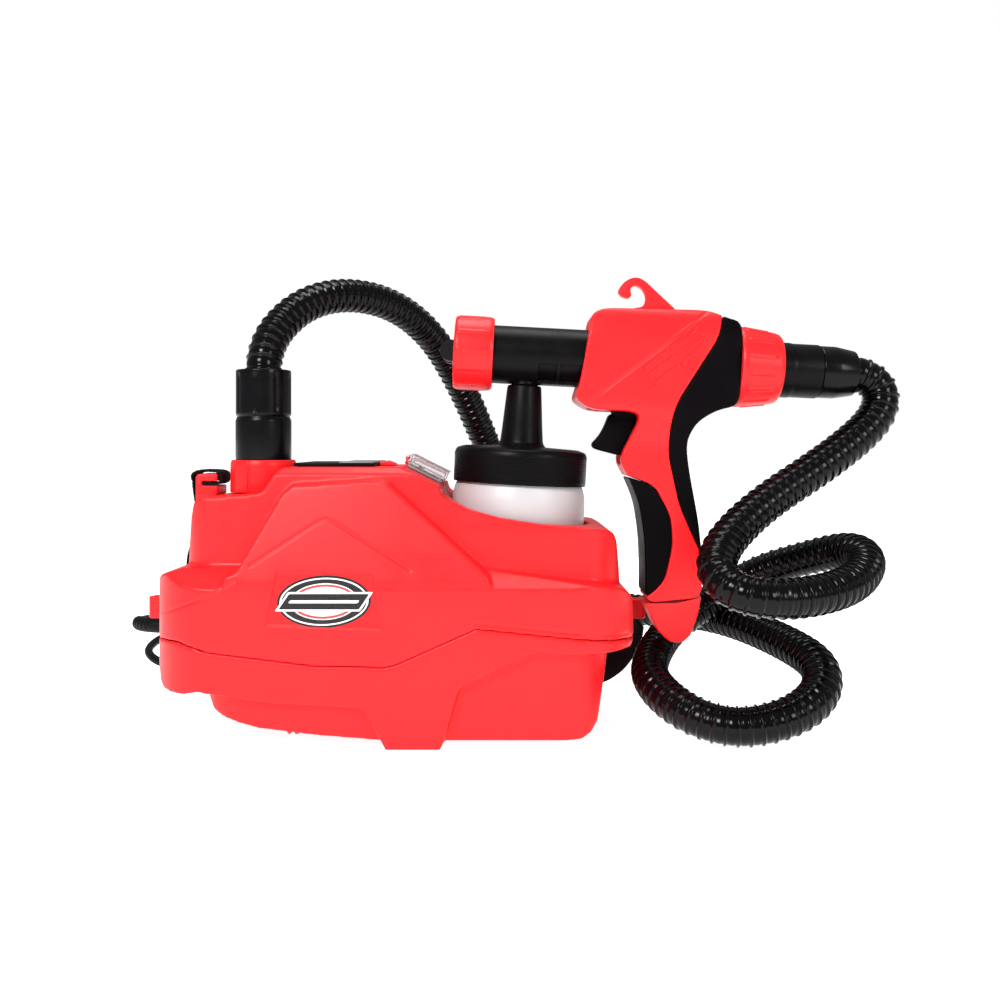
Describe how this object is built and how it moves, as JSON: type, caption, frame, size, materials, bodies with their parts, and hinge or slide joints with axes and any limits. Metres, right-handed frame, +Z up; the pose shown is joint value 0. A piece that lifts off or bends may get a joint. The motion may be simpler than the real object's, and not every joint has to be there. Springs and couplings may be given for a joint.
{
  "type": "turbine paint sprayer",
  "caption": "Red turbine paint sprayer: floor case with a cup well and covered rocker switch, corrugated air hose, and a cup gun with trigger, turning air cap and ring nuts.",
  "frame": {"origin": "on the floor plane, on the flat underside of the case, midway between the case's two ends and between its two sides", "axes": "+Z up, +X along the case towards the parked gun's hose end, -Y out of the side that carries the raised panel and the view"},
  "size_m": [0.6256, 0.3359, 0.3525],
  "materials": {
    "red_plastic": "satin moulded plastic",
    "black_plastic": "satin moulded plastic",
    "grey_plastic": "satin moulded plastic",
    "clear_plastic": "clear polished plastic",
    "milky_plastic": "milky translucent plastic",
    "hose_plastic": "glossy flexible plastic",
    "rubber": "matt rubber",
    "webbing": "woven webbing",
    "foam": "open-cell foam",
    "steel": "plated steel",
    "brass": "turned brass"
  },
  "bodies": {
    "base": {"lower_shell": "red_plastic", "upper_shell": "red_plastic", "outlet_collar": "red_plastic", "intake_filter": "foam", "filter_latch": "red_plastic", "switch_bezel": "grey_plastic", "cover_pin": "red_plastic", "motor_can": "steel", "fan_housing": "black_plastic", "motor_bracket_front": "rubber", "motor_bracket_rear": "rubber", "rubber_foot_1": "rubber", "rubber_foot_2": "rubber", "rubber_foot_3": "rubber", "rubber_foot_4": "rubber", "case_screw_1": "steel", "case_screw_2": "steel", "case_screw_3": "steel", "case_screw_4": "steel", "strap_lug_left": "red_plastic", "strap_lug_right": "red_plastic", "strap_post": "red_plastic", "shoulder_strap": "webbing", "cord_boot": "rubber", "power_cord": "rubber", "cord_coil": "rubber", "plug_body": "rubber", "plug_blade_1": "brass", "plug_blade_2": "brass", "air_hose": "hose_plastic"},
    "turbine": {"motor_shaft": "steel", "turbine_fan": "grey_plastic"},
    "intake_cover": {"intake_cover": "black_plastic"},
    "rocker": {"switch_rocker": "grey_plastic"},
    "switch_cover": {"switch_cover": "clear_plastic"},
    "base_cuff": {"base_cuff": "black_plastic"},
    "gun": {"gun_body_left": "red_plastic", "gun_body_right": "red_plastic", "rear_grip": "black_plastic", "front_grip": "black_plastic", "grip_cap": "red_plastic", "hanging_hook": "red_plastic", "trigger_pin": "steel", "needle_spring": "steel", "barrel": "black_plastic", "fluid_nozzle": "brass", "cup_lid": "black_plastic", "cup_gasket": "rubber", "pickup_tube": "milky_plastic", "gun_connector": "black_plastic"},
    "trigger": {"trigger": "black_plastic"},
    "needle": {"needle": "steel"},
    "air_cap": {"air_cap": "black_plastic"},
    "nozzle_nut": {"nozzle_nut": "red_plastic"},
    "rear_nut": {"rear_nut": "red_plastic"},
    "paint_cup": {"paint_cup": "milky_plastic"},
    "gun_cuff": {"gun_cuff": "black_plastic"}
  },
  "joints": [
    {"name": "gun_lift", "type": "slide", "parent": "base", "child": "gun", "axis": [0.0523, 0, 0.9986], "range_m": [0, 0.15]},
    {"name": "trigger_pull", "type": "hinge", "parent": "gun", "child": "trigger", "pos_m": [0.17653, 0, 0.29429], "axis": [0, -1, 0], "range_deg": [0, 8], "stiffness_Nm_per_rad": 0.6, "springref_deg": -17.19},
    {"name": "needle_draw", "type": "slide", "parent": "gun", "child": "needle", "axis": [0.9986, 0, -0.0523], "range_m": [0, 0.0026]},
    {"name": "air_cap_turn", "type": "hinge", "parent": "gun", "child": "air_cap", "pos_m": [0.0957, 0, 0.2805], "axis": [0.9986, 0, -0.0523], "range_deg": [0, 90]},
    {"name": "nozzle_nut_turn", "type": "hinge", "parent": "gun", "child": "nozzle_nut", "pos_m": [0.0957, 0, 0.2805], "axis": [0.9986, 0, -0.0523], "continuous": true},
    {"name": "rear_nut_turn", "type": "hinge", "parent": "gun", "child": "rear_nut", "pos_m": [0.0957, 0, 0.2805], "axis": [0.9986, 0, -0.0523], "continuous": true},
    {"name": "gun_cuff_turn", "type": "hinge", "parent": "gun", "child": "gun_cuff", "pos_m": [0.09567, 0, 0.2799], "axis": [0.9986, 0, -0.0523], "range_deg": [-180, 180]},
    {"name": "cup_unscrew", "type": "hinge", "parent": "gun", "child": "paint_cup", "pos_m": [0.0957, 0, 0.2805], "axis": [0.0523, 0, 0.9986], "range_deg": [0, 120]},
    {"name": "base_cuff_turn", "type": "hinge", "parent": "base", "child": "base_cuff", "pos_m": [-0.109, 0, 0.23], "axis": [0, 0, 1], "range_deg": [-180, 180]},
    {"name": "turbine_spin", "type": "hinge", "parent": "base", "child": "turbine", "pos_m": [-0.1, 0, 0.09], "axis": [1, 0, 0], "continuous": true},
    {"name": "intake_cover_lift", "type": "slide", "parent": "base", "child": "intake_cover", "axis": [0, 0, 1], "range_m": [0, 0.012]},
    {"name": "rocker_press", "type": "hinge", "parent": "base", "child": "rocker", "pos_m": [0.01647, 0, 0.18614], "axis": [0, -1, 0], "range_deg": [0, 14]},
    {"name": "switch_cover_flip", "type": "hinge", "parent": "base", "child": "switch_cover", "pos_m": [0.0052, 0, 0.20083], "axis": [0, -1, 0], "range_deg": [0, 100]}
  ],
  "couplings": [
    {"joint": "needle_draw", "follows": "trigger_pull", "m_per_rad": 0.018}
  ]
}
